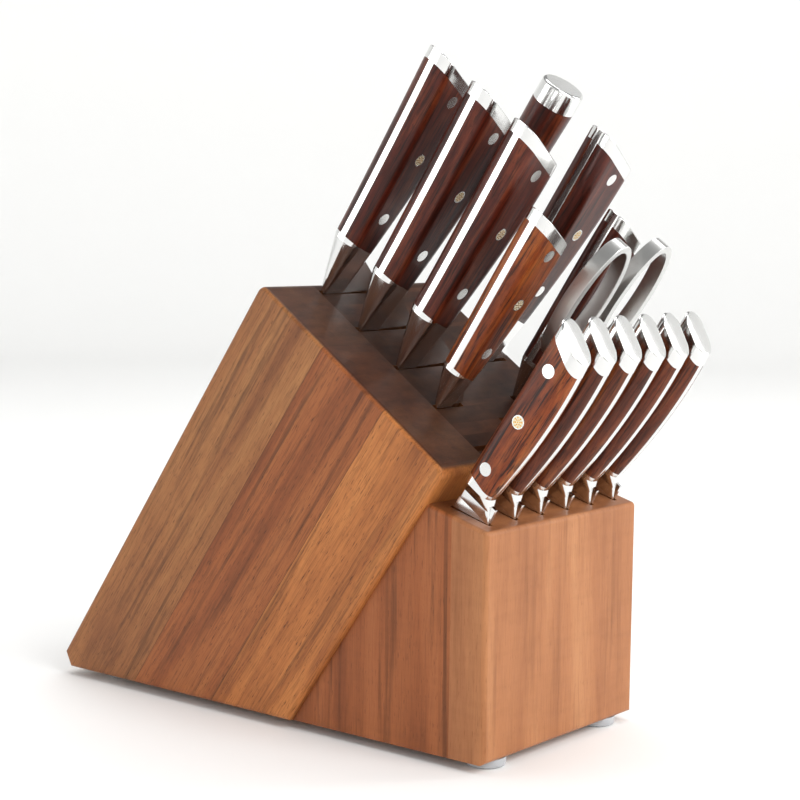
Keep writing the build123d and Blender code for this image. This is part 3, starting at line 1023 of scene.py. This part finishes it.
@dataclass
class Studio:
    """A round pale paper sweep, soft boxes in a dim room, and the camera."""

    sweep_floor: float = 2.4
    sweep_bend: float = 0.7
    sweep_rise: float = 2.2
    sweep_gap: float = 0.02 * MM          # under the feet
    bend_steps: int = 12
    air: float = 0.36                     # strength of the room's own light
    place: Vector = field(default_factory=lambda: Vector((-0.6984, -0.5863, 0.2472)))
    heading: float = radians(50.865)
    dip: float = radians(5.534)
    roll: float = radians(0.726)
    lens: float = 80.18

    def build(self) -> None:
        """Builds the sweep, the lights and the camera."""
        self.sweep()
        self.light("key", (-0.2, -2.0, 1.45), (1.5, 1.5), 42.0)
        self.light("side", (-1.35, 0.95, 0.4), (1.5, 1.2), 9.0)
        self.light("strip", (1.3, -1.1, 0.7), (0.35, 1.4), 7.5)
        self.light("backdrop", (0.5, 0.1, 2.3), (2.2, 1.2), 30.0, self.ahead() * 1.6)
        self.camera()
        world = bpy.data.worlds.new("studio_air")
        world.use_nodes = True
        background = world.node_tree.nodes["Background"]
        background.inputs[0].default_value = linear("#f4f4f4")
        background.inputs[1].default_value = self.air
        bpy.context.scene.world = world
        bpy.context.scene.view_settings.view_transform = "Standard"

    def ahead(self) -> Vector:
        """Gives the level direction that the camera looks along.

        Returns:
            That direction, one metre long.
        """
        return Vector((sin(self.heading), cos(self.heading), 0.0))

    def sweep(self) -> None:
        """Spins the paper sweep: level under the set, bent up all round it."""
        outline = [(0.0, 0.0), (self.sweep_floor, 0.0)]
        for step in range(1, self.bend_steps + 1):
            turn = step * pi / (2 * self.bend_steps)
            outline.append(
                (
                    self.sweep_floor + self.sweep_bend * sin(turn),
                    self.sweep_bend * (1 - cos(turn)),
                )
            )
        outline.append((self.sweep_floor + self.sweep_bend, self.sweep_rise))
        mesh = bmesh.new()
        base = Matrix.Translation((0.0, 0.0, CAD_BOX[0].z - self.sweep_gap))
        spin_outline(mesh, outline, base, 96)
        data = bpy.data.meshes.new("sweep")
        mesh.to_mesh(data)
        mesh.free()
        for face in data.polygons:
            face.use_smooth = True
        material, tree = new_material("paper_white_matt")
        shader = add_node(
            tree,
            "ShaderNodeBsdfPrincipled",
            {"Base Color": linear("#f7f7f6"), "Roughness": 0.9, "Specular IOR Level": 0.1},
        )
        finish_surface(tree, shader)
        data.materials.append(material)
        sweep = bpy.data.objects.new("sweep", data)
        bpy.context.scene.collection.objects.link(sweep)

    def light(
        self,
        name: str,
        place: tuple[float, float, float],
        size: tuple[float, float],
        power: float,
        aim: Vector = MIDDLE,
    ) -> None:
        """Adds one soft box.

        Args:
            name: The lamp's name.
            place: Where it hangs, in metres.
            size: Its width and height, in metres.
            power: Its power, in watts.
            aim: The point that it faces.
        """
        data = bpy.data.lights.new(name, "AREA")
        data.shape = "RECTANGLE"
        data.size, data.size_y = size
        data.energy = power
        lamp = bpy.data.objects.new(name, data)
        lamp.location = place
        lamp.rotation_euler = (aim - Vector(place)).to_track_quat("-Z", "Y").to_euler()
        bpy.context.scene.collection.objects.link(lamp)

    def camera(self) -> None:
        """Adds the camera and makes it the scene's."""
        data = bpy.data.cameras.new("camera")
        data.lens = self.lens
        data.sensor_width = 36.0
        data.clip_start = 0.01
        camera = bpy.data.objects.new("camera", data)
        ahead = self.ahead() * cos(self.dip) - Vector((0.0, 0.0, sin(self.dip)))
        level = Vector((cos(self.heading), -sin(self.heading), 0.0))
        above = level.cross(ahead)
        right = level * cos(self.roll) + above * sin(self.roll)
        top = above * cos(self.roll) - level * sin(self.roll)
        turn = Matrix((right, top, -ahead)).transposed().to_4x4()
        camera.matrix_world = Matrix.Translation(self.place) @ turn
        bpy.context.scene.collection.objects.link(camera)
        bpy.context.scene.camera = camera


def handle_wood(name: str, number: int, stain: Stain) -> Wood:
    """Gives each handle its own cut of resin-filled laminated rosewood.

    Args:
        name: The knife's name.
        number: Moves the pattern, so that no two handles match.
        stain: The handle's colour.

    Returns:
        The handle's wood.
    """
    bold = stain is Stain.ORANGE
    return Wood(
        f"rosewood_buffed_{name}",
        stain.value,
        "#120604",
        Grain.LEANING,
        figure_size=(7.0, 7.0, 60.0),
        streak_size=(1.3, 1.3, 40.0),
        streak_edge=(0.5, 0.62) if bold else (0.48, 0.66),
        streak_depth=0.92 if bold else 0.8,
        fibre_size=(0.3, 0.3, 8.0),
        fibre_depth=0.45,
        pore_size=(0.35, 0.35, 3.0),
        pore_depth=0.75,
        ripple_depth=0.2,
        roughness=0.34,
        coat=0.16,
        coat_roughness=0.09,
        bump=0.05,
        shift=(0.13 * number, 0.29 * number, 0.41 * number),
    )


def main() -> None:
    """Builds the whole set, piece by piece."""
    logging.basicConfig(level=logging.INFO, format="%(message)s")
    finishes = {
        # Buffed to a mirror: bright bands and dark edges.
        "polished": Steel("stainless_mirror_polished", roughness=0.14, roughness_spread=0.04).build(),
        # Ground and grooved lengthwise: a dull sheen with fine lines.
        "ground": Steel("steel_ground_grooved", "#c9cacb", 0.3, 0.1, (0.5, 0.5, 90.0), 0.6).build(),
        # Cast and tumbled: a soft even grey sheen.
        "satin": Steel(
            "stainless_tumbled_satin", "#cfcfcd", 0.3, 0.06, (0.8, 0.8, 6.0), 0.08
        ).build(),
        # Pins ground flush and buffed: small bright discs.
        "pin": Steel("stainless_pin_buffed", "#dcdcda", 0.16, 0.05, (1.5, 1.5, 1.5)).build(),
        # Brass rods buffed with the pin: warm bright dots.
        "brass": Steel("brass_rod_buffed", "#c79a4b", 0.22, 0.05, (0.6, 0.6, 0.6)).build(),
        # Cast resin between the rods: a cream ground.
        "resin": Moulded("resin_cast_cream", "#e9dcc0", 0.2).build(),
        # Moulded clear: a pale rim that takes the floor's light.
        "foot": Moulded("bumper_moulded_clear", "#d5d8dc", 0.16, clearness=0.35).build(),
    }
    MainBlock().build()
    LowBlock().build()
    Feet().build(finishes["foot"])
    for number, name in enumerate(
        ("chef", "bread", "santoku", "paring", "slicing", "utility"), start=1
    ):
        stain = Stain.ORANGE if name == "paring" else Stain.RED
        wood = handle_wood(f"{name}_knife", number, stain)
        RivetedKnife(f"{name}_knife", wood, DOWN_SLOPE).build(finishes)
    for number in range(1, 7):
        name = f"steak_knife_{number}"
        stain = Stain.ORANGE if number == 1 else Stain.BROWN
        wood = handle_wood(name, number + 6, stain)
        RivetedKnife(name, wood, ACROSS, ("scales",)).build(finishes)
    SharpeningSteel().build(handle_wood("sharpening_steel", 14, Stain.RED), finishes)
    Shears().build(finishes)
    Studio().build()


if __name__ == "__main__":
    main()
